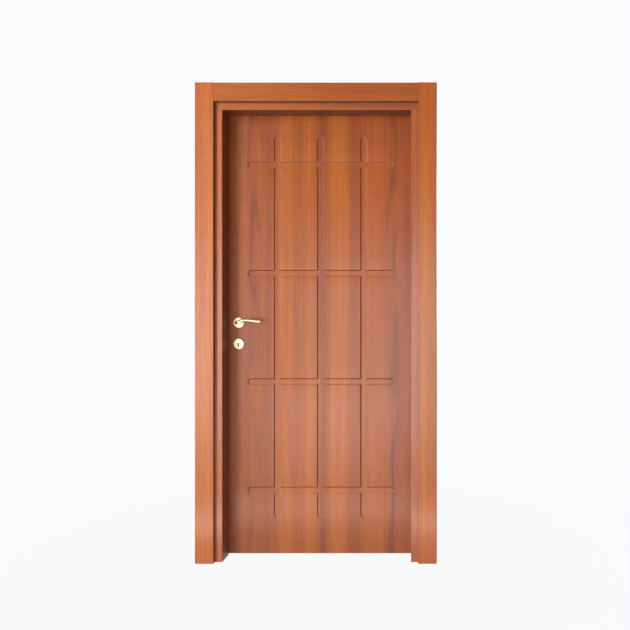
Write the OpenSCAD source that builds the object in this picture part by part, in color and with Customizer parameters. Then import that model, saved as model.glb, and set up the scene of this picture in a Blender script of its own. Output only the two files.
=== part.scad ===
// Door set for a wall opening: a grooved leaf on three loose-pin butt hinges, in a rebated frame
// with flat casings on both faces of the wall. X runs along the wall, Y through it, away from the
// side that the door is pushed from, and Z up from the floor. The origin is on the outer face of
// the hinge jamb, at the floor and half way through the jamb.

/* [Doorway] */
// Clear width between the stops of the two jambs
clear_w = 830; // [600:1:1000]
// Clear height from the floor to the head stop
clear_h = 1989; // [1850:1:2300]
// Thickness of the wall between the front and back casings
wall_t = 140; // [138:1:160]

/* [Frame] */
// Thickness of a jamb at its stop
jamb_t = 45; // [42:0.5:60]
// Depth of a jamb, from its front edge to the back face of the wall
jamb_d = 136; // [120:1:146]
// Width of the rebate that the leaf closes into
rebate_w = 15; // [13:0.5:18]
// Rounding of a jamb's front corner
jamb_ease = 2; // [0.5:0.5:4]
// Distance from the shoulder of the stop to the closed leaf
seal_gap = 5; // [4.9:0.1:7]
// Width of the slot that holds a seal
seal_slot_w = 3; // [2:0.5:4]
// Depth of the slot that holds a seal
seal_slot_d = 6; // [4:0.5:8]
// Diameter of a seal's bulb
seal_bulb_d = 4.6; // [3.5:0.1:4.7]

/* [Casings] */
// Face width of a front casing
casing_w = 82; // [60:1:110]
// Thickness of a front casing
casing_t = 18; // [14:0.5:24]
// Distance from the stop's face to the inner edge of a front casing
casing_reveal = 32; // [26:0.5:32]
// Thickness of the return that runs back from a front casing's inner edge
return_t = 8; // [5:0.5:9]
// Length of the return that sits in the jamb's groove
tongue_l = 15; // [8:0.5:20]
// Face width of a back casing
back_casing_w = 80; // [60:1:110]
// Thickness of a back casing
back_casing_t = 16; // [12:0.5:20]
// Distance from the stop's face to the inner edge of a back casing
back_reveal = 26; // [25:0.5:32]
// Rounding of a casing's outer face edge
casing_ease = 5; // [2:0.5:8]
// Rounding of a casing's inner face edge
casing_inner_ease = 2; // [0.5:0.5:5]

/* [Leaf] */
// Thickness of the leaf
leaf_t = 42; // [38:0.5:50]
// Thickness of one skin of the leaf
skin_t = 8; // [7:0.5:10]
// Gap between the leaf's side and top edges and the rebate
edge_gap = 5; // [5:0.5:6]
// Gap between the floor and the leaf
floor_gap = 6; // [5:0.5:15]
// How far the lock edge falls back from the back face to the front face
lock_bevel = 1.5; // [1.5:0.1:2.5]
// Width of the stile that holds the lock
lock_stile_w = 105; // [98:1:130]
// Width of the stile that holds the hinges
hinge_stile_w = 45; // [35:1:70]
// Rounding of the leaf's upright corners
leaf_ease = 2; // [0.5:0.5:4]
// Height of the top rail
top_rail_h = 45; // [30:1:80]
// Height of the bottom rail
bottom_rail_h = 60; // [30:1:120]

/* [Grooves] */
// Width of a groove at the leaf's face
groove_w = 30; // [20:1:40]
// Depth of a groove
groove_d = 5; // [2:0.5:6]
// How far each side of a groove slopes in
groove_slope = 4; // [1:0.5:7]
// Number of upright grooves
upright_count = 3; // [1:1:4]
// Distance between the centre lines of two upright grooves
upright_pitch = 196; // [150:1:200]
// Number of level grooves
level_count = 4; // [2:1:4]
// Distance between the centre lines of two level grooves
level_pitch = 492; // [300:1:520]
// Height of the lowest level groove's centre line above the floor
lowest_level_z = 292; // [200:1:320]
// How far a level groove runs past the outer upright grooves
level_overrun = 120; // [30:1:130]
// How far an upright groove runs past the top and bottom level grooves
upright_overrun = 111; // [30:1:125]

/* [Hinges] */
// Height of a hinge
hinge_h = 100; // [70:1:120]
// Width of a hinge plate, measured through the leaf's edge
hinge_plate_w = 30; // [22:1:32]
// Thickness of a hinge plate
hinge_plate_t = 2.5; // [2:0.1:3]
// Rounding of a hinge plate's inner corners
hinge_plate_r = 8; // [1:0.5:10]
// Diameter of a knuckle
knuckle_d = 13; // [11:0.5:13.5]
// Distance from the leaf's back face to the pin's axis
pin_out = 7; // [7:0.1:9]
// Diameter of a hinge pin
pin_d = 6; // [5:0.1:7]
// Knuckles on a hinge, the frame's and the leaf's together
knuckle_count = 5; // [3:2:5]
// Height from the floor to the middle of the lower hinge
lower_hinge_z = 256; // [180:1:350]
// Distance from the leaf's top down to the middle of the upper hinge
upper_hinge_down = 220; // [150:1:300]

/* [Lock] */
// Distance from the lock edge to the lever's axis
backset = 55; // [50:1:65]
// Height of the lever's axis above the floor
lever_z = 1052; // [900:1:1150]
// Distance from the lever's axis down to the keyhole
key_drop = 96; // [80:1:100]
// Depth of the lock case behind its faceplate
case_depth = 85; // [78:1:90]
// Height of the lock case
case_h = 172; // [165:1:200]
// Thickness of the lock case
case_t = 16; // [14:0.5:18]
// Height of the faceplate
faceplate_h = 235; // [215:1:260]
// Width of the faceplate
faceplate_w = 24; // [18:1:25]
// Thickness of the faceplate
faceplate_t = 3; // [2:0.5:4]
// Height of the latch bolt
latch_h = 30; // [20:1:34]
// Thickness of the latch bolt
latch_t = 14; // [10:0.5:14]
// Height of the dead bolt
bolt_h = 35; // [25:1:40]
// Thickness of the dead bolt
bolt_t = 12; // [8:0.5:14]
// Length of both bolts inside the lock
bolt_l = 44; // [30:1:46]
// Thickness of the strike plate
strike_t = 2; // [1.5:0.5:3]
// Depth of the latch's pocket in the jamb, from the rebate's face
latch_pocket = 16; // [12:1:20]
// Depth of the dead bolt's pocket in the jamb, from the rebate's face
bolt_pocket = 22; // [14:1:24]

/* [Handles] */
// Diameter of a rose
rose_d = 51; // [44:0.5:56]
// Thickness of a rose
rose_t = 9; // [6:0.5:12]
// Diameter of a lever's neck
neck_d = 17; // [14:0.5:19]
// Distance from the leaf to the middle of a lever's bar
lever_out = 50; // [40:1:60]
// Length of a lever from its axis to its tip
lever_reach = 112; // [95:1:130]
// Height of a lever's bar
bar_h = 13; // [9:0.5:15]
// Thickness of a lever's bar
bar_t = 10; // [7:0.5:12]
// Rise of a lever's crest above its axis
crest_rise = 12.5; // [0:0.5:18]
// Fall of a lever's tip below its crest
tip_fall = 6; // [0:0.5:14]
// Width across the flats of the spindle
spindle_w = 8; // [7:0.5:8.5]
// Diameter of the round part of a keyhole
keyhole_d = 10; // [7:0.5:11]
// Width of the slot below the keyhole's round part
key_slot_w = 6; // [4.5:0.1:6.5]
// Height of the slot below the centre of the keyhole's round part
key_slot_h = 15; // [8:0.5:16]

/* [Hidden] */
$fn = 64;
// One overrun serves every cut
cut = 1;
// Radial room of a turning fit
fit = 0.1;
// Room for a hinge pin in its knuckles, on the radius
pin_fit = 0.05;
// Gap between one knuckle and the next
knuckle_gap = 0.4;
// Room left at the bottom of a jamb's groove for glue
glue_room = 1;
// Distance from the stop's face to the slot of the seal
seal_slot_in = 3;
// Height and width of a hinge pin's button, and its domed top
button_h = 2.5;
button_d = 9;
// Gap between the lever's shank and the edge of its neck, on the radius
shank_inset = 0.4;
// Radius of the bend between a lever's neck and its bar
bend_r = 16;
// How far a lever's neck and a keyhole's bore go into the leaf
neck_in = 3;
// Depth of the spindle's socket in a lever's neck
socket_d = 20;
// Length of a lever's rounded tip
tip_l = 8;
// Place of a lever's crest along its reach
crest_share = 0.34;
// Span over which the slope of a lever's centre line is measured
slope_span = 0.2;
// Size of a lever's tip against its bar
tip_h_share = 1.12;
tip_t_share = 0.85;
// Rings along the bend, the bar and the tip of a lever, and points around it
bend_rings = 7;
bar_rings = 13;
tip_rings = 4;
ring_points = 20;
// Rounding of a rose's rim, and the raised collar round its bore
rose_ease = 4;
collar_w = 3;
collar_h = 1.5;
// Room round the neck in the skin behind a rose
neck_room = 2;
// Room round the spindle in the lock case
spindle_room = 1.5;
// Diameter of the hole behind a key rose
key_bore_d = 32;
// Distance from the lock case's top to the lever's axis
case_over = 38;
// Distance from the latch's middle down to the dead bolt's middle
bolt_drop = 66;
// Flat left at the tip of the latch bolt, and length of its slope
latch_flat = 3;
latch_slope = 11;
// Room round each bolt in the strike plate and in the jamb
strike_room = 2;
// Height of the strike plate above and below its two holes, and of its lip past the latch's hole
strike_end = 30;
lip_end = 8;

front_y = -jamb_d / 2;
back_y = jamb_d / 2;
leaf_y = back_y - leaf_t;
stop_y = leaf_y - seal_gap;
mid_y = back_y - leaf_t / 2;
wall_front_y = back_y - wall_t;
casing_y = wall_front_y - casing_t;
half_clear = clear_w / 2;
half_frame = half_clear + jamb_t;
frame_h = clear_h + jamb_t;
mid_x = -half_frame;
casing_in = half_clear + casing_reveal;
casing_under = clear_h + casing_reveal;
back_casing_in = half_clear + back_reveal;
back_casing_under = clear_h + back_reveal;
rebate_x = half_clear + rebate_w;
leaf_half = rebate_x - edge_gap;
leaf_top = clear_h + rebate_w - edge_gap;
core_y = leaf_y + skin_t;
core_t = leaf_t - 2 * skin_t;
pin_x = leaf_half + edge_gap / 2;
pin_y = back_y + pin_out;
knuckle_pitch = hinge_h / knuckle_count;
upper_hinge_z = leaf_top - upper_hinge_down;
middle_hinge_z = (upper_hinge_z + lower_hinge_z) / 2;
hinge_zs = [lower_hinge_z, middle_hinge_z, upper_hinge_z];
lever_x = -leaf_half + backset;
key_z = lever_z - key_drop;
case_top = lever_z + case_over;
case_mid_z = case_top - case_h / 2;
bolt_z = lever_z - bolt_drop;
seal_mid = seal_slot_in + seal_slot_w / 2;
bar_run = lever_reach - bend_r - tip_l;

veneer = "peru";
veneer_dark = "sienna";
raw_wood = "burlywood";
brass = "gold";
steel = "silver";
rubber = "saddlebrown";

// Points of an arc, from one angle to the other
function arc(x, y, r, from, to, steps = 8) =
    [for (i = [0 : steps]) let (a = from + (to - from) * i / steps) [x + r * cos(a), y + r * sin(a)]];

// A soft step from 0 to 1
function smooth(t) = t * t * (3 - 2 * t);

// Place of the bevelled lock edge at a depth through the leaf
function lock_x(y) = -leaf_half + lock_bevel * (back_y - y) / leaf_t;

// Moves what is drawn about the doorway's centre line to the part's own frame
module doorway() {
    translate([mid_x, 0, 0])
        children();
}

// Draws the hinge side as it is, and the lock side mirrored
module side(s) {
    mirror([s < 0 ? 1 : 0, 0, 0])
        children();
}

// A block between two corners
module block(from, to) {
    translate(from)
        cube(to - from);
}

// Stands a section up along the head: its X becomes height above a level, and its length runs in X
module along_head(z, length) {
    translate([0, 0, z])
        rotate([0, -90, 0])
            linear_extrude(length, center = true)
                children();
}

// An upright plate from an outline in X and Z
module upright(y, t) {
    translate([0, y + t, 0])
        rotate([90, 0, 0])
            linear_extrude(t)
                children();
}

// Section of a jamb: its stop, its rebate, and its rounded front corner
module jamb_section() {
    polygon(concat(
        arc(jamb_ease, front_y + jamb_ease, jamb_ease, 270, 180),
        [[0, stop_y], [rebate_w, stop_y], [rebate_w, back_y], [jamb_t, back_y], [jamb_t, front_y]]
    ));
}

// Grooves that run round the three jambs, for the casings' tongues and for the seals
module jamb_grooves() {
    groove_y = front_y + tongue_l + glue_room;
    upright(front_y - cut, groove_y - front_y + cut)
        arch(casing_reveal, return_t);
    upright(stop_y - seal_slot_d, seal_slot_d + cut)
        arch(seal_slot_in, seal_slot_w);
}

// A strip round the doorway: out from the stop's face, and as wide as given
module arch(out, w) {
    difference() {
        translate([-half_clear - out - w, -cut])
            square([2 * (half_clear + out + w), clear_h + out + w + cut]);
        translate([-half_clear - out, -2 * cut])
            square([2 * (half_clear + out), clear_h + out + 2 * cut]);
    }
}

module leg_jamb() {
    difference() {
        intersection() {
            translate([half_clear, 0, 0])
                linear_extrude(frame_h)
                    jamb_section();
            upright(front_y - cut, jamb_d + 2 * cut)
                polygon([
                    [half_clear - cut, -cut], [half_frame + cut, -cut],
                    [half_frame + cut, frame_h + cut], [half_clear - cut, clear_h - cut]
                ]);
        }
        jamb_grooves();
    }
}

module left_jamb() {
    color(veneer)
        doorway()
            difference() {
                side(-1)
                    leg_jamb();
                strike_recess();
            }
}

module right_jamb() {
    color(veneer)
        doorway()
            difference() {
                leg_jamb();
                for (z = hinge_zs)
                    hinge_recess(z, 1);
            }
}

module head_jamb() {
    color(veneer)
        doorway()
            difference() {
                intersection() {
                    along_head(clear_h, 2 * half_frame)
                        jamb_section();
                    upright(front_y - cut, jamb_d + 2 * cut)
                        polygon([
                            [-half_clear + cut, clear_h - cut], [half_clear - cut, clear_h - cut],
                            [half_frame + cut, frame_h + cut], [-half_frame - cut, frame_h + cut]
                        ]);
                }
                jamb_grooves();
            }
}

// Section of a casing: a board with its two face edges rounded, its face at zero depth
module board(w, t) {
    polygon(concat(
        arc(casing_inner_ease, casing_inner_ease, casing_inner_ease, 270, 180),
        [[0, t], [w, t]],
        arc(w - casing_ease, casing_ease, casing_ease, 0, -90)
    ));
}

module front_leg_casing() {
    translate([casing_in, casing_y, 0])
        linear_extrude(casing_under + casing_w)
            board(casing_w, casing_t);
    block([casing_in, wall_front_y, 0], [casing_in + return_t, front_y + tongue_l, casing_under + return_t]);
}

module front_left_casing() {
    color(veneer)
        doorway()
            side(-1)
                front_leg_casing();
}

module front_right_casing() {
    color(veneer)
        doorway()
            front_leg_casing();
}

module front_head_casing() {
    color(veneer)
        doorway() {
            translate([0, casing_y, 0])
                along_head(casing_under, 2 * casing_in)
                    board(casing_w, casing_t);
            block([-casing_in, wall_front_y, casing_under], [casing_in, front_y + tongue_l, casing_under + return_t]);
        }
}

module back_leg_casing() {
    translate([back_casing_in, back_y + back_casing_t, 0])
        linear_extrude(back_casing_under + back_casing_w)
            mirror([0, 1])
                board(back_casing_w, back_casing_t);
}

module back_left_casing() {
    color(veneer)
        doorway()
            side(-1)
                back_leg_casing();
}

module back_right_casing() {
    color(veneer)
        doorway()
            back_leg_casing();
}

module back_head_casing() {
    color(veneer)
        doorway()
            translate([0, back_y + back_casing_t, 0])
                along_head(back_casing_under, 2 * back_casing_in)
                    mirror([0, 1])
                        board(back_casing_w, back_casing_t);
}

// Section of a seal: a root in the slot and a round bulb on the shoulder
module seal_root() {
    translate([seal_slot_in, stop_y - seal_slot_d])
        square([seal_slot_w, seal_slot_d + seal_bulb_d / 4]);
}

module seal_bulb() {
    translate([seal_mid, stop_y + seal_bulb_d / 2])
        circle(d = seal_bulb_d);
}

module leg_seal() {
    bulb_top = clear_h + seal_mid - seal_bulb_d / 2;
    translate([half_clear, 0, 0])
        linear_extrude(bulb_top) {
            seal_root();
            seal_bulb();
        }
}

module left_seal() {
    color(rubber)
        doorway()
            side(-1)
                leg_seal();
}

module right_seal() {
    color(rubber)
        doorway()
            leg_seal();
}

module head_seal() {
    half_seal = half_clear + seal_mid + seal_bulb_d / 2;
    half_slot = half_clear + seal_slot_in + seal_slot_w;
    color(rubber)
        doorway() {
            along_head(clear_h, 2 * half_slot)
                seal_root();
            along_head(clear_h, 2 * half_seal)
                seal_bulb();
        }
}

// Holes for the two bolts, as blocks that reach in from the rebate's face of the lock jamb
module bolt_holes(latch_depth, bolt_depth, room) {
    block(
        [-rebate_x - latch_depth, mid_y - latch_t / 2 - room, lever_z - latch_h / 2 - room],
        [-rebate_x + cut, mid_y + latch_t / 2 + room, lever_z + latch_h / 2 + room]
    );
    block(
        [-rebate_x - bolt_depth, mid_y - bolt_t / 2 - room, bolt_z - bolt_h / 2 - room],
        [-rebate_x + cut, mid_y + bolt_t / 2 + room, bolt_z + bolt_h / 2 + room]
    );
}

// The strike plate before its holes are cut: a strip with a lip that reaches the jamb's back edge
module strike_blank(over) {
    block(
        [-rebate_x - strike_t, mid_y - faceplate_w / 2, bolt_z - bolt_h / 2 - strike_end],
        [-rebate_x + over, mid_y + faceplate_w / 2, lever_z + latch_h / 2 + strike_end]
    );
    block(
        [-rebate_x - strike_t, mid_y, lever_z - latch_h / 2 - lip_end],
        [-rebate_x + over, back_y + over, lever_z + latch_h / 2 + lip_end]
    );
}

module strike_recess() {
    strike_blank(cut);
    bolt_holes(latch_pocket, bolt_pocket, strike_room);
}

module strike_plate() {
    color(steel)
        doorway()
            difference() {
                strike_blank(0);
                bolt_holes(strike_t + cut, strike_t + cut, strike_room);
            }
}

// Outline of a hinge plate in Y and Z, with its two inner corners rounded
module plate_outline(over) {
    edge = -hinge_plate_w + hinge_plate_r;
    high = hinge_h / 2 - hinge_plate_r;
    polygon(concat(
        arc(edge, high, hinge_plate_r, 90, 180),
        arc(edge, -high, hinge_plate_r, 180, 270),
        [[over, -hinge_h / 2], [over, hinge_h / 2]]
    ));
}

// The plate of a hinge, flush in the frame (s = 1) or in the leaf's edge (s = -1)
module hinge_plate(z, s) {
    translate([s > 0 ? rebate_x : leaf_half - hinge_plate_t, back_y, z])
        rotate([90, 0, 90])
            linear_extrude(hinge_plate_t)
                plate_outline(0);
}

// The recess that a hinge's plate lies in, open towards the gap and towards the back
module hinge_recess(z, s) {
    translate([s > 0 ? rebate_x - cut : leaf_half - hinge_plate_t, back_y, z])
        rotate([90, 0, 90])
            linear_extrude(hinge_plate_t + cut)
                plate_outline(cut);
}

// One knuckle with the tab that joins it to its plate; the gaps lie between knuckles only
module knuckle(z, i, s) {
    face_x = s > 0 ? rebate_x : leaf_half - hinge_plate_t;
    low = z - hinge_h / 2 + i * knuckle_pitch + (i > 0 ? knuckle_gap / 2 : 0);
    high = z - hinge_h / 2 + (i + 1) * knuckle_pitch - (i < knuckle_count - 1 ? knuckle_gap / 2 : 0);
    translate([pin_x, pin_y, low])
        cylinder(h = high - low, d = knuckle_d);
    block([face_x, back_y, low], [face_x + hinge_plate_t, pin_y, high]);
}

// Half of a hinge: the frame has the first, third and fifth knuckle, the leaf those between
module hinge_half(z, s) {
    difference() {
        union() {
            hinge_plate(z, s);
            for (i = [s > 0 ? 0 : 1 : 2 : knuckle_count - 1])
                knuckle(z, i, s);
        }
        translate([pin_x, pin_y, z - hinge_h / 2 - cut])
            cylinder(h = hinge_h + 2 * cut, d = pin_d + 2 * pin_fit);
    }
}

module frame_hinge(z) {
    color(brass)
        doorway()
            hinge_half(z, 1);
}

module leaf_hinge(z) {
    color(brass)
        doorway()
            hinge_half(z, -1);
}

// A loose pin with a domed button at each end
module hinge_pin(z) {
    button_r = button_d / 2;
    color(brass)
        doorway()
            translate([pin_x, pin_y, z])
                rotate_extrude()
                    polygon(concat(
                        [[0, -hinge_h / 2 - button_h]],
                        arc(button_r - button_h / 2, -hinge_h / 2 - button_h / 2, button_h / 2, 270, 360),
                        [[button_r, -hinge_h / 2], [pin_d / 2, -hinge_h / 2]],
                        [[pin_d / 2, hinge_h / 2], [button_r, hinge_h / 2]],
                        arc(button_r - button_h / 2, hinge_h / 2 + button_h / 2, button_h / 2, 0, 90),
                        [[0, hinge_h / 2 + button_h]]
                    ));
}

// A skin of the leaf seen from above: its face at one depth, with eased corners, and its inner side
module skin_plan(face_y, inner_y) {
    turn = face_y < inner_y ? 1 : -1;
    centre_y = face_y + turn * leaf_ease;
    polygon(concat(
        [[lock_x(inner_y), inner_y]],
        arc(lock_x(face_y) + leaf_ease, centre_y, leaf_ease, 180, 180 + 90 * turn),
        arc(leaf_half - leaf_ease, centre_y, leaf_ease, -90 * turn, 0),
        [[leaf_half, inner_y]]
    ));
}

module skin(face_y, inner_y) {
    translate([0, 0, floor_gap])
        linear_extrude(leaf_top - floor_gap)
            skin_plan(face_y, inner_y);
}

// A groove with sloped sides and round ends, cut from the face at y = 0 along local X
module groove(length) {
    translate([-length / 2, 0, 0])
        rotate([90, 0, 90])
            linear_extrude(length)
                polygon([
                    [0, -groove_w / 2], [0, groove_w / 2],
                    [groove_d, groove_w / 2 - groove_slope], [groove_d, -groove_w / 2 + groove_slope]
                ]);
    for (end = [-1, 1])
        translate([end * length / 2, 0, 0])
            rotate([-90, 0, 0])
                cylinder(h = groove_d, d1 = groove_w, d2 = groove_w - 2 * groove_slope);
}

// The pattern of a skin: upright grooves crossed by level ones, routed from the face
module groove_pattern() {
    outer = upright_pitch * (upright_count - 1) / 2;
    rise = level_pitch * (level_count - 1);
    for (i = [0 : upright_count - 1])
        translate([i * upright_pitch - outer, 0, lowest_level_z + rise / 2])
            rotate([0, 90, 0])
                groove(rise + 2 * upright_overrun);
    for (i = [0 : level_count - 1])
        translate([0, 0, lowest_level_z + i * level_pitch])
            groove(2 * (outer + level_overrun));
}

// Bores through the leaf for the handles and the key
module leaf_bores() {
    translate([lever_x, leaf_y - cut, lever_z])
        rotate([-90, 0, 0])
            cylinder(h = leaf_t + 2 * cut, d = neck_d + 2 * neck_room);
    translate([lever_x, leaf_y - cut, key_z])
        rotate([-90, 0, 0])
            cylinder(h = leaf_t + 2 * cut, d = key_bore_d);
}

module front_skin() {
    color(veneer_dark)
        doorway()
            difference() {
                skin(leaf_y, core_y);
                translate([0, leaf_y, 0])
                    groove_pattern();
                leaf_bores();
            }
}

module back_skin() {
    color(veneer_dark)
        doorway()
            difference() {
                skin(back_y, back_y - skin_t);
                translate([0, back_y, 0])
                    mirror([0, 1, 0])
                        groove_pattern();
                leaf_bores();
                for (z = hinge_zs)
                    hinge_recess(z, -1);
            }
}

module lock_stile() {
    color(raw_wood)
        doorway()
            difference() {
                edge_strip(0, lock_stile_w, core_t, floor_gap, leaf_top);
                faceplate_blank(cut);
                case_blank();
                leaf_bores();
            }
}

module hinge_stile() {
    color(raw_wood)
        doorway()
            difference() {
                block(
                    [leaf_half - hinge_stile_w, core_y, floor_gap],
                    [leaf_half, core_y + core_t, leaf_top]
                );
                for (z = hinge_zs)
                    hinge_recess(z, -1);
            }
}

// A rail between the two stiles
module rail(low, high) {
    color(raw_wood)
        doorway()
            translate([0, 0, low])
                linear_extrude(high - low)
                    polygon([
                        [lock_x(core_y) + lock_stile_w, core_y], [leaf_half - hinge_stile_w, core_y],
                        [leaf_half - hinge_stile_w, core_y + core_t],
                        [lock_x(core_y + core_t) + lock_stile_w, core_y + core_t]
                    ]);
}

module top_rail() {
    rail(leaf_top - top_rail_h, leaf_top);
}

module bottom_rail() {
    rail(floor_gap, floor_gap + bottom_rail_h);
}

// A strip that follows the bevelled lock edge: between two depths, and so far in from the edge
module edge_strip(from_in, to_in, t, low, high) {
    front = mid_y - t / 2;
    back = mid_y + t / 2;
    translate([0, 0, low])
        linear_extrude(high - low)
            polygon([
                [lock_x(front) + from_in, front], [lock_x(front) + to_in, front],
                [lock_x(back) + to_in, back], [lock_x(back) + from_in, back]
            ]);
}

// The faceplate before its holes are cut; as a cut it runs out past the edge
module faceplate_blank(over) {
    edge_strip(-over, faceplate_t, faceplate_w, case_mid_z - faceplate_h / 2, case_mid_z + faceplate_h / 2);
}

module case_blank() {
    edge_strip(faceplate_t, faceplate_t + case_depth, case_t, case_top - case_h, case_top);
}

// The dead bolt, drawn in flush with the faceplate; as a cut it runs out past the edge
module dead_bolt_blank(over) {
    edge_strip(-over, bolt_l, bolt_t, bolt_z - bolt_h / 2, bolt_z + bolt_h / 2);
}

// Space of the latch bolt, which is drawn in until its tip is flush with the faceplate
module latch_space() {
    edge_strip(-cut, bolt_l, latch_t, lever_z - latch_h / 2, lever_z + latch_h / 2);
}

// Outline of a keyhole: a round hole over a slot
module keyhole() {
    circle(d = keyhole_d);
    translate([-key_slot_w / 2, -key_slot_h])
        square([key_slot_w, key_slot_h]);
}

// Cuts the keyhole right through, from one depth to another
module keyhole_cut(from, to) {
    translate([lever_x, 0, key_z])
        upright(from, to - from)
            keyhole();
}

module lock_case() {
    color(steel)
        doorway()
            difference() {
                case_blank();
                latch_space();
                dead_bolt_blank(cut);
                translate([lever_x, leaf_y, lever_z])
                    rotate([-90, 0, 0])
                        cylinder(h = leaf_t, r = spindle_w / sqrt(2) + spindle_room);
                keyhole_cut(leaf_y, back_y);
            }
}

module lock_faceplate() {
    color(brass)
        doorway()
            difference() {
                faceplate_blank(0);
                latch_space();
                dead_bolt_blank(cut);
            }
}

module latch_bolt() {
    front = mid_y - latch_t / 2;
    back = mid_y + latch_t / 2;
    tip_x = lock_x(back);
    color(steel)
        doorway()
            translate([0, 0, lever_z - latch_h / 2])
                linear_extrude(latch_h)
                    polygon([
                        [tip_x, back], [tip_x, back - latch_flat],
                        [lock_x(front) + latch_slope, front], [lock_x(front) + bolt_l, front],
                        [tip_x + bolt_l, back]
                    ]);
}

module dead_bolt() {
    color(steel)
        doorway()
            dead_bolt_blank(0);
}

// Turns a shape drawn about Z so that it stands on the leaf's front face, at a place on the leaf
module on_front(z) {
    translate([lever_x, leaf_y, z])
        rotate([90, 0, 0])
            children();
}

// Mirrors what stands on the front face to the back face
module on_back() {
    translate([0, 2 * mid_y, 0])
        mirror([0, 1, 0])
            children();
}

// A lever's rose: a turned disc with a rounded rim and a collar round the neck
module rose() {
    bore_r = neck_d / 2 + fit;
    rotate_extrude()
        polygon(concat(
            [[bore_r, 0], [rose_d / 2, 0]],
            arc(rose_d / 2 - rose_ease, rose_t - collar_h - rose_ease, rose_ease, 0, 90),
            [[bore_r + collar_w, rose_t - collar_h], [bore_r + collar_w, rose_t], [bore_r, rose_t]]
        ));
}

// A key's rose: the same disc without a collar, cut through for the key
module key_rose() {
    difference() {
        rotate_extrude()
            polygon(concat(
                [[0, 0], [rose_d / 2, 0]],
                arc(rose_d / 2 - rose_ease, rose_t - collar_h - rose_ease, rose_ease, 0, 90),
                [[0, rose_t - collar_h]]
            ));
        translate([0, 0, -cut])
            linear_extrude(rose_t + 2 * cut)
                keyhole();
    }
}

module front_rose() {
    color(brass)
        doorway()
            on_front(lever_z)
                rose();
}

module back_rose() {
    color(brass)
        doorway()
            on_back()
                on_front(lever_z)
                    rose();
}

module front_key_rose() {
    color(brass)
        doorway()
            on_front(key_z)
                key_rose();
}

module back_key_rose() {
    color(brass)
        doorway()
            on_back()
                on_front(key_z)
                    key_rose();
}

// Height of a lever's centre line above its axis, at a distance along its reach
function wave(a) =
    let (s = a / lever_reach)
    s < crest_share
        ? crest_rise * smooth(s / crest_share)
        : crest_rise - tip_fall * smooth((s - crest_share) / (1 - crest_share));

// Centre line of a lever, seen on the leaf: X along the reach, Y up, Z out from the leaf
function bend_point(a) =
    let (x = bend_r - bend_r * cos(a))
    [x, wave(x), lever_out - bend_r + bend_r * sin(a)];
function bar_point(x) = [x, wave(x), lever_out];

function unit(v) = v / norm(v);

// One ring of points round a centre, square to the way the lever runs there
function ring(centre, way, h, t) =
    let (up = unit([0, 1, 0] - ([0, 1, 0] * way) * way), out = cross(way, up))
    [for (i = [0 : ring_points - 1]) let (a = 360 * i / ring_points)
        centre + up * h / 2 * sin(a) + out * t / 2 * cos(a)];

function slope_way(x, flat_way) =
    let (rise = (wave(x + slope_span / 2) - wave(x - slope_span / 2)) / slope_span)
    unit(flat_way + [0, rise * flat_way.x, 0]);

// All rings: round the bend from the round shank, along the bar, and in to the rounded tip
function lever_rings() =
    let (shank = neck_d - 2 * shank_inset, bar_end = bend_r + bar_run)
    concat(
        [for (i = [0 : bend_rings]) let (a = 90 * i / bend_rings, k = smooth(i / bend_rings), p = bend_point(a))
            ring(p, slope_way(p.x, [sin(a), 0, cos(a)]), shank + (bar_h - shank) * k, shank + (bar_t - shank) * k)],
        [for (i = [1 : bar_rings]) let (s = i / bar_rings, x = bend_r + bar_run * s, k = smooth(s))
            ring(bar_point(x), slope_way(x, [1, 0, 0]),
                bar_h * (1 + (tip_h_share - 1) * k), bar_t * (1 + (tip_t_share - 1) * k))],
        [for (i = [1 : tip_rings]) let (a = 80 * i / tip_rings, x = bar_end + tip_l * sin(a), k = cos(a))
            ring(bar_point(x), slope_way(x, [1, 0, 0]), bar_h * tip_h_share * k, bar_t * tip_t_share * k)]
    );

// A solid through rings of equal count, closed by a flat face at each end
module loft(rings) {
    n = len(rings[0]);
    last = len(rings) - 1;
    polyhedron(
        points = [for (r = rings, p = r) p],
        faces = concat(
            [[for (i = [n - 1 : -1 : 0]) i]],
            [for (j = [0 : last - 1], i = [0 : n - 1]) let (a = j * n + i, b = j * n + (i + 1) % n)
                each [[a, b, b + n], [a, b + n, a + n]]],
            [[for (i = [0 : n - 1]) last * n + i]]
        )
    );
}

// A lever: a turned neck that runs in the rose, and a waved bar lofted from it
module lever() {
    difference() {
        union() {
            translate([0, 0, -neck_in])
                cylinder(h = lever_out - bend_r + neck_in, d = neck_d);
            loft(lever_rings());
        }
        translate([-spindle_w / 2, -spindle_w / 2, -neck_in - cut])
            cube([spindle_w, spindle_w, socket_d + cut]);
    }
}

module front_lever() {
    color(brass)
        doorway()
            on_front(lever_z)
                lever();
}

module back_lever() {
    color(brass)
        doorway()
            on_back()
                on_front(lever_z)
                    lever();
}

module spindle() {
    reach_in = socket_d - neck_in;
    color(steel)
        doorway()
            block(
                [lever_x - spindle_w / 2, leaf_y - reach_in, lever_z - spindle_w / 2],
                [lever_x + spindle_w / 2, back_y + reach_in, lever_z + spindle_w / 2]
            );
}

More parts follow.
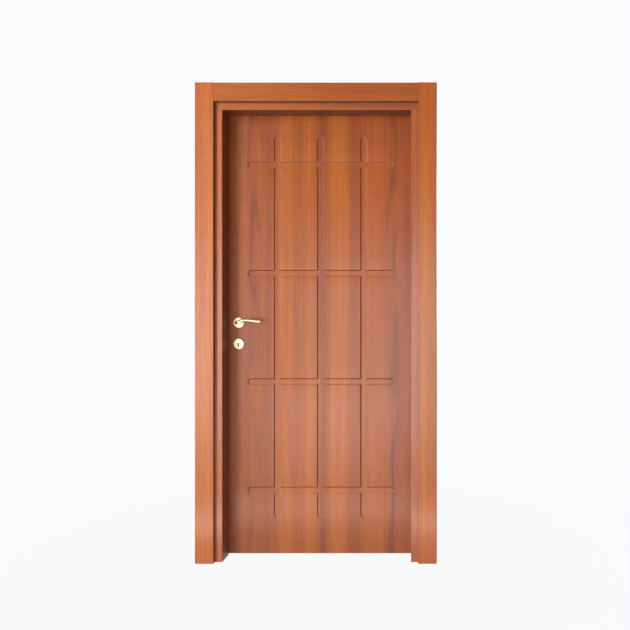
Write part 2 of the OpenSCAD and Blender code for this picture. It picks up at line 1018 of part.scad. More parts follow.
left_jamb();
right_jamb();
head_jamb();
front_left_casing();
front_right_casing();
front_head_casing();
back_left_casing();
back_right_casing();
back_head_casing();
left_seal();
right_seal();
head_seal();
strike_plate();
frame_hinge(upper_hinge_z);  // upper_frame_hinge
frame_hinge(middle_hinge_z);  // middle_frame_hinge
frame_hinge(lower_hinge_z);  // lower_frame_hinge
hinge_pin(upper_hinge_z);  // upper_pin
hinge_pin(middle_hinge_z);  // middle_pin
hinge_pin(lower_hinge_z);  // lower_pin
front_skin();
back_skin();
lock_stile();
hinge_stile();
top_rail();
bottom_rail();
lock_case();
lock_faceplate();
latch_bolt();
dead_bolt();
front_rose();
back_rose();
front_key_rose();
back_key_rose();
leaf_hinge(upper_hinge_z);  // upper_leaf_hinge
leaf_hinge(middle_hinge_z);  // middle_leaf_hinge
leaf_hinge(lower_hinge_z);  // lower_leaf_hinge
front_lever();
back_lever();
spindle();
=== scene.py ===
import math

import bmesh
import bpy
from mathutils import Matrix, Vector


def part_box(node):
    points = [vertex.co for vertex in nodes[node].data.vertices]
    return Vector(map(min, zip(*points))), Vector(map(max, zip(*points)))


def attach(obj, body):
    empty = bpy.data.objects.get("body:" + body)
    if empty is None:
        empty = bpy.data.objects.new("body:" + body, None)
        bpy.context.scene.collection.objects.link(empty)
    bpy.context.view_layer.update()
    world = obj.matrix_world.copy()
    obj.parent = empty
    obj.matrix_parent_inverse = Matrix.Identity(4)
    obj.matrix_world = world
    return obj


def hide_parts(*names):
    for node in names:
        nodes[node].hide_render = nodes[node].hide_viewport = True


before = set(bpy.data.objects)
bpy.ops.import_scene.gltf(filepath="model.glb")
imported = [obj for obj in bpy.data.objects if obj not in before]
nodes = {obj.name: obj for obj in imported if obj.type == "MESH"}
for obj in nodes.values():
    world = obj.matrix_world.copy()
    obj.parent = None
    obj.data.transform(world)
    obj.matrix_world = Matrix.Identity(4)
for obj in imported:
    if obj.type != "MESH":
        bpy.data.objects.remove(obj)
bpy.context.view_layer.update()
print("frame loaded:", len(nodes), "nodes")

scene = bpy.context.scene
doorMiddle = -0.460  # centre line of the doorway
leverAxis = (-0.830, 1.052)  # x and z of the lever
keyAxis = (-0.830, 0.956)
leafFront, leafBack = 0.026, 0.068


def pick(sockets, key):
    for socket in sockets:
        if socket.identifier == key:
            return socket
    return sockets[key]


class Wire:
    # an output socket that takes part in sums, so shader maths reads as an expression
    def __init__(self, finish, socket):
        self.finish = finish
        self.socket = socket

    def __add__(self, other):
        return self.finish.maths("ADD", self, other)

    def __sub__(self, other):
        return self.finish.maths("SUBTRACT", self, other)

    def __mul__(self, other):
        return self.finish.maths("MULTIPLY", self, other)

    def __truediv__(self, other):
        return self.finish.maths("DIVIDE", self, other)

    def __gt__(self, other):
        return self.finish.maths("GREATER_THAN", self, other)

    def __lt__(self, other):
        return self.finish.maths("LESS_THAN", self, other)

    def __radd__(self, other):
        return self.finish.maths("ADD", other, self)

    def __rsub__(self, other):
        return self.finish.maths("SUBTRACT", other, self)

    def __rmul__(self, other):
        return self.finish.maths("MULTIPLY", other, self)


class Finish:
    # the nodes of a material or of the world
    def __init__(self, name, family="materials"):
        self.owner = getattr(bpy.data, family).new(name)
        self.owner.use_nodes = True
        self.tree = self.owner.node_tree
        self.tree.nodes.clear()

    def node(self, kind, settings=None, sockets=None, output=None):
        # any node: its type, its settings, the values or links of its sockets, and the output or outputs wanted
        made = self.tree.nodes.new(kind)
        for key, value in (settings or {}).items():
            if key == "stops":
                self.setStops(made.color_ramp, value)
            else:
                setattr(made, key, value)
        for key, value in (sockets or {}).items():
            socket = pick(made.inputs, key)
            if isinstance(value, Wire):
                self.tree.links.new(value.socket, socket)
            else:
                socket.default_value = value
        if isinstance(output, tuple):
            return [Wire(self, pick(made.outputs, key)) for key in output]
        if output:
            return Wire(self, pick(made.outputs, output))
        return Wire(self, made.outputs[0]) if len(made.outputs) else made

    def setStops(self, ramp, stops):
        while len(ramp.elements) < len(stops):
            ramp.elements.new(1.0)
        for element, (place, colour) in zip(ramp.elements, stops):
            element.position = place
            element.color = solid(colour)

    def maths(self, operation, a, b=0.0):
        return self.node("ShaderNodeMath", {"operation": operation}, {"Value": a, "Value_001": b})

    def largest(self, *values):
        most = values[0]
        for value in values[1:]:
            most = self.maths("MAXIMUM", most, value)
        return most

    def placed(self, centre=(0, 0, 0), turn=(0, 0, 0)):
        where = self.node("ShaderNodeTexCoord", output="Object")
        return self.node("ShaderNodeMapping", {"vector_type": "TEXTURE"},
                         {"Vector": where, "Location": centre, "Rotation": turn})

    def facing(self):
        # the face's own normal, which turns with the piece
        return self.parts(self.node("ShaderNodeTexCoord", output="Normal"))

    def rays(self):
        return self.node("ShaderNodeLightPath", output=(
            "Is Camera Ray", "Is Glossy Ray", "Is Transmission Ray"))

    def parts(self, vector):
        return self.node("ShaderNodeSeparateXYZ", None, {"Vector": vector}, ("X", "Y", "Z"))

    def joined(self, x, y, z):
        return self.node("ShaderNodeCombineXYZ", None, {"X": x, "Y": y, "Z": z})

    def noise(self, vector, scale=1.0, detail=2.0, rough=0.5, stretch=None):
        if stretch:
            vector = self.node("ShaderNodeVectorMath", {"operation": "MULTIPLY"},
                               {"Vector": vector, "Vector_001": stretch})
        return self.node("ShaderNodeTexNoise", {"noise_dimensions": "3D"},
                         {"Vector": vector, "Scale": scale, "Detail": detail, "Roughness": rough})

    def ramp(self, factor, stops, smooth=True):
        made = self.node("ShaderNodeValToRGB", {"stops": stops}, {"Fac": factor}, "Color")
        made.socket.node.color_ramp.interpolation = "EASE" if smooth else "LINEAR"
        return made

    def step(self, value, edges, ends=(0.0, 1.0)):
        # the first end below the first edge, the last above the last, smooth between
        return self.node("ShaderNodeMapRange", {"interpolation_type": "SMOOTHSTEP", "clamp": True},
                         {"Value": value, "From Min": edges[0], "From Max": edges[1],
                          "To Min": ends[0], "To Max": ends[1]})

    def mixed(self, factor, a, b, blend="MIX"):
        return self.node("ShaderNodeMix", {"data_type": "RGBA", "blend_type": blend, "clamp_factor": True},
                         {"Factor_Float": factor, "A_Color": a, "B_Color": b}, "Result_Color")

    def bump(self, height, strength, distance):
        return self.node("ShaderNodeBump", None, {"Height": height, "Strength": strength, "Distance": distance})

    def surface(self, sockets):
        shader = self.node("ShaderNodeBsdfPrincipled", None, sockets)
        self.node("ShaderNodeOutputMaterial", None, {"Surface": shader})
        return self.owner


def solid(colour):
    return (*colour, 1.0)


boardLook = {  # raw board under the foil, on backs and cut ends
    "light": (0.60, 0.45, 0.29), "dark": (0.45, 0.32, 0.19), "fleck": (0.27, 0.17, 0.09), "fleckShare": 0.6,
    "fleckEdges": (0.63, 0.74), "rough": 0.86, "fluffHeight": 2.5, "footHeight": 0.0004,
}


def boardColour(finish, spot):
    cloud = finish.noise(spot, 14, 4, 0.6)
    fluff = finish.noise(spot, 900, 3, 0.7)
    fleck = finish.step(finish.noise(spot, 420, 2, 0.5, (1, 1, 0.4)), boardLook["fleckEdges"])
    base = finish.ramp(0.55 * cloud + 0.45 * fluff, [(0.3, boardLook["dark"]), (0.7, boardLook["light"])])
    return finish.mixed(boardLook["fleckShare"] * fleck, base, solid(boardLook["fleck"])), fluff


def woodFoil(name, look, bare=None, shade=None):
    # printed wood foil with its grain along the pattern's Z
    # bare(finish) marks where raw board shows, shade(finish, look) how much painted shade a face gets
    finish = Finish(name)
    spot = finish.placed(look["centre"], look.get("turn", (0, 0, 0)))
    across, depth, along = finish.parts(spot)
    depth = depth * look["through"]

    def grain(sideways, noise):
        wide, deep, long, detail, rough = look[noise]
        return finish.noise(finish.joined(sideways * wide, depth * deep, along * long), 1, detail, rough)

    bent = across + look["sway"] * (grain(across, "swayNoise") - 0.5) \
        + look["ripple"] * (grain(across, "rippleNoise") - 0.5)
    place = bent / look["width"] + 0.5
    bands = finish.ramp(place, look["bands"])
    drift = grain(bent, "driftNoise")
    streaks = grain(bent, "streakNoise")
    fibres = grain(bent, "fibreNoise")
    rings = finish.maths("SINE", grain(bent, "hillNoise") * look["ringCount"])
    rings = finish.maths("POWER", rings * 0.5 + 0.5, look["ringSharpness"]) * finish.ramp(place, look["figure"])
    pores = finish.step(grain(bent, "poreNoise"), look["poreEdges"])
    tone = look["level"] + look["bandGain"] * (bands - 0.5) + look["driftGain"] * (drift - 0.5) \
        + look["streakGain"] * (streaks - 0.5) + look["fibreGain"] * (fibres - 0.5) \
        - look["ringGain"] * rings
    colour = finish.ramp(tone, look["tones"], False)
    honey = finish.step(grain(bent, "honeyNoise"), look["honeyEdges"])
    colour = finish.mixed(look["honeyGain"] * honey, colour, solid(look["honey"]), "MULTIPLY")
    colour = finish.mixed(look["poreGain"] * pores, colour, solid(look["pore"]))
    smudge = finish.noise(spot, 7, 3, 0.6)
    peel = finish.noise(spot, 260, 2, 0.5)
    rough = look["rough"] + look["smudgeGloss"] * (smudge - 0.5) + look["fibreGloss"] * (fibres - 0.5) \
        + look["poreGloss"] * pores
    height = look["peelHeight"] * peel + look["fibreHeight"] * fibres - look["poreHeight"] * pores
    if shade:
        # painted shade: the marked faces are darkened towards the shade tone, their grain kept
        shaded = shade(finish, look)
        colour = finish.mixed(shaded, colour, solid(look["shadeTone"]), "MULTIPLY")
        rough = rough + look["shadeGloss"] * shaded
    if look.get("stretch"):
        # painted light, paler, on the routed slopes that face up and to the viewer's left; painted shade, darker,
        # on the slopes that face away
        nx, ny, nz = finish.facing()
        lean = nz * look["stretchUp"] + nx * look["stretch"]
        pale = finish.step(lean, look["stretchEdges"])
        dark = finish.step(0.0 - lean, look["stretchEdges"])
        colour = finish.mixed(look["stretchShare"] * pale, colour, solid(look["stretchTone"]))
        colour = finish.mixed(look["creaseShare"] * dark, colour, solid(look["creaseTone"]))
    if bare:
        raw = bare(finish)
        rawColour, fluff = boardColour(finish, spot)
        colour = finish.mixed(raw, colour, rawColour)
        rough = rough + raw * (boardLook["rough"] - rough)
        height = height + raw * boardLook["fluffHeight"] * fluff
    return finish.surface({
        "Base Color": colour, "Roughness": rough, "Specular IOR Level": look["gloss"], "IOR": look["ior"],
        "Normal": finish.bump(height, look["bump"], look["bumpDepth"])})


foilTones = {
    "leaf": [(0.04, (0.190, 0.037, 0.010)), (0.28, (0.335, 0.068, 0.015)), (0.50, (0.460, 0.096, 0.014)),
             (0.76, (0.590, 0.138, 0.014)), (1.0, (0.700, 0.195, 0.024))],
    "casing": [(0.04, (0.255, 0.050, 0.010)), (0.28, (0.465, 0.098, 0.014)), (0.52, (0.605, 0.128, 0.008)),
               (0.78, (0.715, 0.174, 0.010)), (1.0, (0.790, 0.232, 0.026))],
}
plainBands = [(0.0, (0.5,) * 3), (1.0, (0.5,) * 3)]

foilLook = {  # each noise: rates across, through and along the grain, then detail and roughness
    "swayNoise": (2.6, 1, 0.40, 1, 0.5), "rippleNoise": (12, 1, 3.1, 2, 0.5), "driftNoise": (9, 1, 0.9, 2, 0.5),
    "streakNoise": (105, 4, 1.3, 3, 0.55), "fibreNoise": (420, 20, 7, 2, 0.6),
    "hillNoise": (9.0, 1, 1.5, 1, 0.4), "poreNoise": (950, 60, 34, 1, 0.5), "honeyNoise": (26, 2, 0.6, 2, 0.5),
    "through": 0.35, "sway": 0.020, "ripple": 0.004, "width": 0.86, "level": 0.5, "ringCount": 30.0,
    "ringSharpness": 2.2, "bandGain": 0.56, "driftGain": 0.24, "streakGain": 0.54, "fibreGain": 0.26,
    "ringGain": 0.24, "poreGain": 0.30, "poreEdges": (0.60, 0.72), "pore": (0.10, 0.026, 0.014),
    "honeyGain": 0.85, "honeyEdges": (0.44, 0.60), "honey": (1.02, 1.16, 0.60), "gloss": 0.62, "ior": 1.5,
    "rough": 0.29, "smudgeGloss": 0.10, "fibreGloss": 0.12, "poreGloss": 0.10, "shadeGloss": 0.30,
    "bump": 0.22, "bumpDepth": 0.00025, "peelHeight": 0.5, "fibreHeight": 0.35, "poreHeight": 0.5,
    # tone and share of the painted shade on faces that look into the doorway
    "shadeTone": (0.15, 0.11, 0.09), "cheekShare": 0.75,
}


def bandStops(marks, width):
    # soft bands of darker and lighter wood across a panel: place in metres, tone
    return [(min(max(place / width + 0.5, 0.0), 1.0), (tone,) * 3) for place, tone in marks]


leafBands = bandStops([
    (-0.425, 0.40), (-0.374, 0.36), (-0.351, 0.40), (-0.318, 0.22), (-0.275, 0.34), (-0.238, 0.18),
    (-0.212, 0.36), (-0.165, 0.82), (-0.138, 0.74), (-0.102, 0.38), (-0.076, 0.54), (-0.052, 0.88),
    (-0.026, 0.56), (0.012, 0.10), (0.030, 0.36), (0.057, 0.80), (0.102, 0.88), (0.146, 0.28), (0.170, 0.32),
    (0.207, 0.52), (0.252, 0.68), (0.297, 0.54), (0.329, 0.24), (0.352, 0.34), (0.388, 0.20), (0.425, 0.30)],
    foilLook["width"])
leafFigure = bandStops([(-0.36, 0.0), (-0.297, 1.0), (-0.255, 0.0), (-0.12, 0.25), (-0.06, 0.0), (0.28, 0.0),
                        (0.329, 1.0), (0.375, 0.0)], foilLook["width"])
leafLook = {
    **foilLook, "level": 0.53, "centre": (doorMiddle, leafFront, 1.0), "bands": leafBands, "figure": leafFigure,
    # painted light on the groove slopes that face up and to the viewer's left, painted shade on the slopes that
    # face away
    "tones": foilTones["leaf"], "stretch": -1.0, "stretchUp": 0.9, "stretchEdges": (0.22, 0.60),
    "stretchShare": 0.34, "stretchTone": (0.85, 0.40, 0.26),
    "creaseShare": 0.40, "creaseTone": (0.13, 0.028, 0.010),
}
# on the back the painted light falls on the slopes facing up and to that side's viewer's left
backLook = {**leafLook, "stretch": 1.0, "centre": (doorMiddle + 0.02, 1.3, 0.4), "turn": (0, 0, math.pi)}
legWidth = 0.09
leftBands = bandStops([(-0.041, 0.24), (-0.034, 0.40), (-0.010, 0.50), (0.006, 0.60), (0.020, 0.76),
                       (0.030, 0.54), (0.041, 0.40)], legWidth)
rightBands = bandStops([(-0.041, 0.36), (-0.030, 0.42), (-0.014, 0.70), (0.0, 0.56), (0.020, 0.50),
                        (0.035, 0.38), (0.041, 0.28)], legWidth)
plainFigure = [(0.0, (0.3,) * 3), (1.0, (0.3,) * 3)]
legLook = {
    **foilLook, "tones": foilTones["casing"], "bands": leftBands, "figure": plainFigure, "width": legWidth,
    "sway": 0.016, "ripple": 0.003, "hillNoise": (5.0, 1, 1.5, 1, 0.4), "honeyNoise": (34, 2, 0.6, 2, 0.5),
    "ringGain": 0.10, "streakGain": 0.76, "bandGain": 0.60, "through": 1.0, "gloss": 0.68, "ior": 1.57,
}
headTurn = (0, math.pi / 2, 0)


leftCasing, rightCasing, headCasing = [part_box(f"front_{side}_casing") for side in ("left", "right", "head")]
backLeft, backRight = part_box("back_left_casing"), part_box("back_right_casing")
foilTurn = 0.012  # how far the foil runs round onto a casing's back


def bareBack(finish, low, high, towards):
    # raw board on a casing's back, inside the turned foil, and on its cut foot
    nx, ny, nz = finish.facing()
    x, y, z = finish.parts(finish.placed())
    inside = (x > low.x + foilTurn) * (x < high.x - foilTurn) * (z < high.z - foilTurn)
    return finish.largest((ny * towards > 0.5) * inside, (z < boardLook["footHeight"]) * (nz < -0.5))


def frontBare(finish):
    return bareBack(finish, leftCasing[0], rightCasing[1], 1.0)


def backBare(finish):
    return bareBack(finish, backLeft[0], backRight[1], -1.0)


jambLook = {  # planes a little inside the lining's wall faces, and the zones of its faces towards the doorway
    **legLook, "width": 0.16, "bands": plainBands, "level": 0.38, "bandGain": 0.3, "ior": 1.64,
    # the cheeks get painted shade, the hinge side at half share, and the front face gets a dark joint line with
    # painted shade beside each casing
    "wallPlanes": (-0.9196, -0.0004, 2.0336), "halfRaw": 0.058, "lockCheek": (-0.8765, -0.8735),
    "hingeCheek": (-0.0465, -0.0435), "headCheek": (1.9, 1.9905), "cheekBack": 0.020, "cheekShare": 0.72,
    "hingeShare": 0.5, "jointShare": 0.6, "joint": 0.0012,
}


def jambBare(finish):
    nx, ny, nz = finish.facing()
    x, y, z = finish.parts(finish.placed())
    left, right, top = jambLook["wallPlanes"]
    wall = finish.largest((x > right) * (nx > 0.5), (x < left) * (nx < -0.5), (z > top) * (nz > 0.5))
    # the foil is turned a little way round each edge
    middle = finish.maths("ABSOLUTE", y) < jambLook["halfRaw"]
    return finish.largest(wall * middle, (z < boardLook["footHeight"]) * (nz < -0.5))


def jambShade(finish, look):
    # painted shade on the faces that look into the doorway, and a dark joint line with painted shade in the corner
    # beside each front casing
    nx, ny, nz = finish.facing()
    x, y, z = finish.parts(finish.placed())

    def zone(value, ends):
        return (value > ends[0]) * (value < ends[1])

    lockSide = zone(x, look["lockCheek"]) * (nx > 0.5)
    hingeSide = zone(x, look["hingeCheek"]) * (nx < -0.5) * look["hingeShare"]
    head = zone(z, look["headCheek"]) * (nz < -0.5)
    cheeks = finish.largest(lockSide, hingeSide, head) * (y < look["cheekBack"])
    joint = finish.largest(x < leftCasing[1].x + look["joint"], x > rightCasing[0].x - look["joint"],
                           z > headCasing[0].z - look["joint"]) * (ny < -0.5)
    return finish.largest(look["cheekShare"] * cheeks, look["jointShare"] * joint)


def casingShade(finish, look):
    # painted shade on the thin faces of the front casings that look into the doorway
    nx, ny, nz = finish.facing()
    x, y, z = finish.parts(finish.placed())
    near = 0.003
    left = (nx > 0.6) * (x > leftCasing[1].x - near) * (x < leftCasing[1].x + near)
    right = (nx < -0.6) * (x < rightCasing[0].x + near) * (x > rightCasing[0].x - near)
    under = (nz < -0.6) * (z > headCasing[0].z - near)
    return look["cheekShare"] * finish.largest(left, right, under)


def foilCentre(box, shift=0.0):
    return (box[0] + box[1]) / 2 + Vector((0, 0, shift))


casingLeftFoil = woodFoil("casing_left_foil", {
    **legLook, "centre": foilCentre(leftCasing)}, frontBare, casingShade)
casingRightFoil = woodFoil("casing_right_foil", {
    **legLook, "bands": rightBands, "level": 0.55, "centre": foilCentre(rightCasing, 0.8)},
    frontBare, casingShade)
casingHeadFoil = woodFoil("casing_head_foil", {
    **legLook, "centre": foilCentre(headCasing), "turn": headTurn, "bandGain": 0.2, "level": 0.35,
    "bands": plainBands, "sway": 0.05, "swayNoise": (2.6, 1, 1.6, 1, 0.5), "streakGain": 0.7},
    frontBare, casingShade)
backLegFoil = woodFoil("back_leg_foil", {**legLook, "centre": (doorMiddle, 0.084, 1.9), "width": 1.1}, backBare)
backHeadFoil = woodFoil("back_head_foil", {
    **legLook, "centre": (doorMiddle, 0.084, 2.055), "turn": headTurn}, backBare)
jambFoil = woodFoil("jamb_foil", {**jambLook, "centre": (doorMiddle, 0, 0.7)}, jambBare, jambShade)
jambHeadFoil = woodFoil("jamb_head_foil", {
    **jambLook, "centre": (doorMiddle, 0, 2.0), "turn": headTurn}, jambBare, jambShade)
leafFoil = woodFoil("leaf_foil", leafLook)
leafBackFoil = woodFoil("leaf_back_foil", backLook)
print("foils made")


coreLook = {  # the outer edges carry an edge band in the foil's colour
    "pine": [(0.30, (0.40, 0.235, 0.110)), (0.48, (0.60, 0.40, 0.205)), (0.66, (0.70, 0.50, 0.28))],
    "band": [(0.3, (0.24, 0.055, 0.020)), (0.7, (0.44, 0.115, 0.036))],
    "bandEnds": (-0.8828, -0.0352), "rough": 0.72, "bandGloss": 0.30,
}


def leafCore(name, turn=(0, 0, 0)):
    # softwood of the leaf's frame
    look = coreLook
    finish = Finish(name)
    spot = finish.placed((doorMiddle, 0.047, 1.0), turn)
    x, y, z = finish.parts(finish.placed())
    across, depth, along = finish.parts(spot)
    rings = finish.noise(finish.joined(across * 60, depth * 60, along * 0.8), 1, 3, 0.5)
    fibres = finish.noise(finish.joined(across * 600, depth * 600, along * 12), 1, 2, 0.6)
    pine = finish.ramp(0.7 * rings + 0.3 * fibres, look["pine"])
    band = finish.ramp(fibres, look["band"])
    edge = finish.largest(x < look["bandEnds"][0], x > look["bandEnds"][1])
    colour = finish.mixed(edge, pine, band)
    rough = look["rough"] - look["bandGloss"] * edge + 0.1 * (fibres - 0.5)
    return finish.surface({"Base Color": colour, "Roughness": rough,
                           "Normal": finish.bump(fibres, 0.3, 0.0003)})


def metal(name, look, centre=(0, 0, 0)):
    # brass and steel: cloudy tone, fine scratches or turned rings, and smudges in the gloss
    finish = Finish(name)
    spot = finish.placed(centre)
    x, y, z = finish.parts(spot)
    cloud = finish.noise(spot, look["cloudScale"], 3, 0.55)
    smudge = finish.noise(spot, 60, 4, 0.65)
    if look.get("turned"):
        radius = finish.maths("SQRT", x * x + z * z)
        brushed = finish.joined(radius * look["turned"][0], y * look["turned"][1], 0.0)
    else:
        brushed = finish.joined(x * look["brush"][0], y * look["brush"][1], z * look["brush"][2])
    lines = finish.noise(brushed, 1, 2, 0.6)
    colour = finish.ramp(cloud, [(0.30, look["shade"]), (0.70, look["tone"])])
    rough = look["rough"] + look["smudge"] * (smudge - 0.5) + look["lineGloss"] * (lines - 0.5)
    return finish.surface({"Base Color": colour, "Metallic": 1.0, "Roughness": rough,
                           "Normal": finish.bump(lines, look["lineBump"], 0.0001)})


polishedBrass = {"tone": (0.86, 0.77, 0.54), "shade": (0.80, 0.69, 0.44), "rough": 0.30, "smudge": 0.10,
                 "lineGloss": 0.05, "lineBump": 0.05, "cloudScale": 30, "brush": (400, 400, 400)}
satinBrass = {"tone": (0.90, 0.70, 0.36), "shade": (0.74, 0.54, 0.24), "rough": 0.30, "smudge": 0.16,
              "lineGloss": 0.10, "lineBump": 0.12, "cloudScale": 45, "brush": (900, 900, 60)}
brushedSteel = {"tone": (0.66, 0.65, 0.62), "shade": (0.52, 0.51, 0.49), "rough": 0.33, "smudge": 0.14,
                "lineGloss": 0.14, "lineBump": 0.16, "cloudScale": 30, "brush": (2600, 2600, 50)}
darkSteel = {**brushedSteel, "tone": (0.50, 0.48, 0.45), "shade": (0.36, 0.345, 0.33), "rough": 0.45}

handleBrass = metal("handle_brass", polishedBrass)
turnedBrass = {**polishedBrass, "turned": (5200, 2600)}
roseBrass = metal("rose_brass", turnedBrass, (leverAxis[0], 0, leverAxis[1]))
keyRoseBrass = metal("key_rose_brass", turnedBrass, (keyAxis[0], 0, keyAxis[1]))
hingeBrass = metal("hinge_brass", satinBrass)
plateSteel = metal("plate_steel", brushedSteel)
caseSteel = metal("case_steel", darkSteel)


def sealRubber():
    finish = Finish("seal_rubber")
    spot = finish.placed()
    grain = finish.noise(spot, 1500, 2, 0.6)
    bloom = finish.noise(spot, 18, 3, 0.6)
    colour = finish.ramp(bloom, [(0.3, (0.055, 0.020, 0.010)), (0.7, (0.095, 0.036, 0.018))])
    return finish.surface({"Base Color": colour, "Roughness": 0.62 + 0.2 * (bloom - 0.5),
                           "Normal": finish.bump(grain, 0.25, 0.0002)})


def dress(names, material):
    for name in names:
        piece = nodes[name]
        piece.data.materials.clear()
        piece.data.materials.append(material)
        for face in piece.data.polygons:
            face.material_index = 0


places = ("upper", "middle", "lower")
dress(["front_left_casing"], casingLeftFoil)
dress(["front_right_casing"], casingRightFoil)
dress(["front_head_casing"], casingHeadFoil)
dress(["back_left_casing", "back_right_casing"], backLegFoil)
dress(["back_head_casing"], backHeadFoil)
dress(["left_jamb", "right_jamb"], jambFoil)
dress(["head_jamb"], jambHeadFoil)
dress(["lock_stile", "hinge_stile"], leafCore("stile_core"))
dress(["top_rail", "bottom_rail"], leafCore("rail_core", headTurn))
dress([f"{place}_{part}" for place in places for part in ("frame_hinge", "leaf_hinge", "pin")], hingeBrass)
dress(["front_rose", "back_rose"], roseBrass)
dress(["front_key_rose", "back_key_rose"], keyRoseBrass)
dress(["lock_faceplate", "strike_plate", "latch_bolt", "dead_bolt"], plateSteel)
dress(["lock_case", "spindle"], caseSteel)
dress(["left_seal", "right_seal", "head_seal"], sealRubber())
print("nodes dressed")


def makePiece(name, points, faces, material, smooth=True):
    mesh = bpy.data.meshes.new(name)
    mesh.from_pydata(points, [], faces)
    mesh.update()
    for face in mesh.polygons:
        face.use_smooth = smooth
    mesh.materials.append(material)
    piece = bpy.data.objects.new(name, mesh)
    scene.collection.objects.link(piece)
    return piece


def smoothStep(share):
    share = min(max(share, 0.0), 1.0)
    return share * share * (3 - 2 * share)


skinShape = {
    "grooveWidth": 0.030, "grooveDepth": 0.005, "slope": 0.004, "lip": 0.0016,
    "uprights": (-0.196, 0.0, 0.196), "levels": (0.292, 0.784, 1.276, 1.768),
    "levelReach": 0.316, "uprightLow": 0.181, "uprightHigh": 1.879,
    "ease": 0.002, "bevel": 0.0015, "half": 0.425, "low": 0.006, "high": 1.999,
    "leverHole": 0.0112, "keyHole": 0.0158,
}


def spread(start, stop, count):
    return [start + (stop - start) * i / count for i in range(count)]


gridShape = {  # grid lines of the skins: offsets over a groove, and spacings at rounded ends and bores
    "near": (0.0152, 0.0147, 0.0141, 0.0134, 0.0125, 0.0115, 0.0110, 0.0105, 0.0099, 0.0090, 0.0045),
    "beyond": 0.002, "endReach": 0.0172, "endStep": 0.0008, "endCount": 23,
    "boreStep": 0.0015, "boreCount": 10, "easeCount": 4, "least": 0.00025,
}


def gridLines(low, high, centres, ends, ease, coarse, bores):
    # positions of grid lines: close together over grooves, rounded ends and bores, wide between
    grid = gridShape
    near = [skinShape["grooveWidth"] / 2 + grid["beyond"], *grid["near"]]
    offsets = [-value for value in near] + [0.0] + near
    lines = {low, high}
    for centre in centres:
        lines.update(centre + offset for offset in offsets)
    for end, way in ends:
        lines.update(end + way * (grid["endReach"] - grid["endStep"] * i) for i in range(grid["endCount"]))
    for bore in bores:
        lines.update(bore + grid["boreStep"] * i for i in range(-grid["boreCount"], grid["boreCount"] + 1))
    if ease:
        for part in range(1, grid["easeCount"] + 1):
            lines.update((low + ease * part / grid["easeCount"], high - ease * part / grid["easeCount"]))
    ordered = sorted(round(line, 6) for line in lines if low <= line <= high)
    full = []
    for a, b in zip(ordered, ordered[1:]):
        full += spread(a, b, max(1, math.ceil((b - a) / coarse)))
    full.append(ordered[-1])
    kept = [full[0]]
    for line in full[1:]:
        if line - kept[-1] > grid["least"]:
            kept.append(line)
    kept[-1] = full[-1]
    return kept


def grooveDistance(x, z):
    # distance to the nearest groove's centre line; crossings are slightly rounded
    shape = skinShape
    away = []
    for centre in shape["uprights"]:
        over = max(shape["uprightLow"] - z, 0.0, z - shape["uprightHigh"])
        away.append(math.hypot(x - centre, over))
    for level in shape["levels"]:
        over = max(abs(x) - shape["levelReach"], 0.0)
        away.append(math.hypot(z - level, over))
    away.sort()
    first, second = away[0], away[1]
    blend = 0.003
    share = max(blend - (second - first), 0.0) / blend
    return first - share * share * blend / 4


def grooveDepth(x, z):
    shape = skinShape
    outer = shape["grooveWidth"] / 2
    inner = outer - shape["slope"]
    away = grooveDistance(x, z)
    if away >= outer + shape["lip"] / 2:
        return 0.0
    # straight slope with both its corners rounded by the foil
    def slopeAt(place):
        return min(max((outer - place) / shape["slope"], 0.0), 1.0)
    samples = 6
    total = sum(slopeAt(away + shape["lip"] * ((i + 0.5) / samples - 0.5)) for i in range(samples))
    return shape["grooveDepth"] * total / samples


def easeDrop(distance):
    ease = skinShape["ease"]
    if distance >= ease:
        return 0.0
    return ease - math.sqrt(max(ease * ease - (ease - distance) ** 2, 0.0))


def makeSkin(name, faceY, innerY, material):
    shape = skinShape
    turn = 1 if innerY > faceY else -1
    lockShift = shape["bevel"] * (leafBack - faceY) / (leafBack - leafFront)
    lockInner = shape["bevel"] * (leafBack - innerY) / (leafBack - leafFront)
    left, right = -shape["half"] + lockShift, shape["half"]
    xs = gridLines(left, right, shape["uprights"],
                   [(-shape["levelReach"], -1), (shape["levelReach"], 1)], shape["ease"], 0.03,
                   [leverAxis[0] - doorMiddle])
    zs = gridLines(shape["low"], shape["high"], shape["levels"],
                   [(shape["uprightLow"], -1), (shape["uprightHigh"], 1)], 0, 0.05,
                   [leverAxis[1], keyAxis[1]])
    points, index = [], {}
    for i, x in enumerate(xs):
        for k, z in enumerate(zs):
            drop = max(grooveDepth(x, z), easeDrop(min(x - left, right - x)))
            index[i, k, 0] = len(points)
            points.append((doorMiddle + x, faceY + turn * drop, z))
    for i, x in enumerate(xs):
        for k, z in enumerate(zs):
            inside = x if i else -shape["half"] + lockInner
            index[i, k, 1] = len(points)
            points.append((doorMiddle + inside, innerY, z))

    def bored(i, k):
        x = doorMiddle + (xs[i] + xs[i + 1]) / 2
        z = (zs[k] + zs[k + 1]) / 2
        return math.hypot(x - leverAxis[0], z - leverAxis[1]) < shape["leverHole"] or \
            math.hypot(x - keyAxis[0], z - keyAxis[1]) < shape["keyHole"]

    faces, columns, rows = [], len(xs) - 1, len(zs) - 1
    solidCells = {(i, k) for i in range(columns) for k in range(rows) if not bored(i, k)}
    for i, k in solidCells:
        faces.append((index[i, k, 0], index[i + 1, k, 0], index[i + 1, k + 1, 0], index[i, k + 1, 0]))
        faces.append((index[i, k, 1], index[i, k + 1, 1], index[i + 1, k + 1, 1], index[i + 1, k, 1]))
        for (di, dk), (a, b) in {(-1, 0): ((i, k + 1), (i, k)), (1, 0): ((i + 1, k), (i + 1, k + 1)),
                                 (0, -1): ((i, k), (i + 1, k)), (0, 1): ((i + 1, k + 1), (i, k + 1))}.items():
            if (i + di, k + dk) not in solidCells:
                faces.append((index[(*b, 0)], index[(*a, 0)], index[(*a, 1)], index[(*b, 1)]))
    if turn < 0:
        faces = [tuple(reversed(face)) for face in faces]
    piece = makePiece(name, points, faces, material)
    markSharp(piece, 50)
    return piece


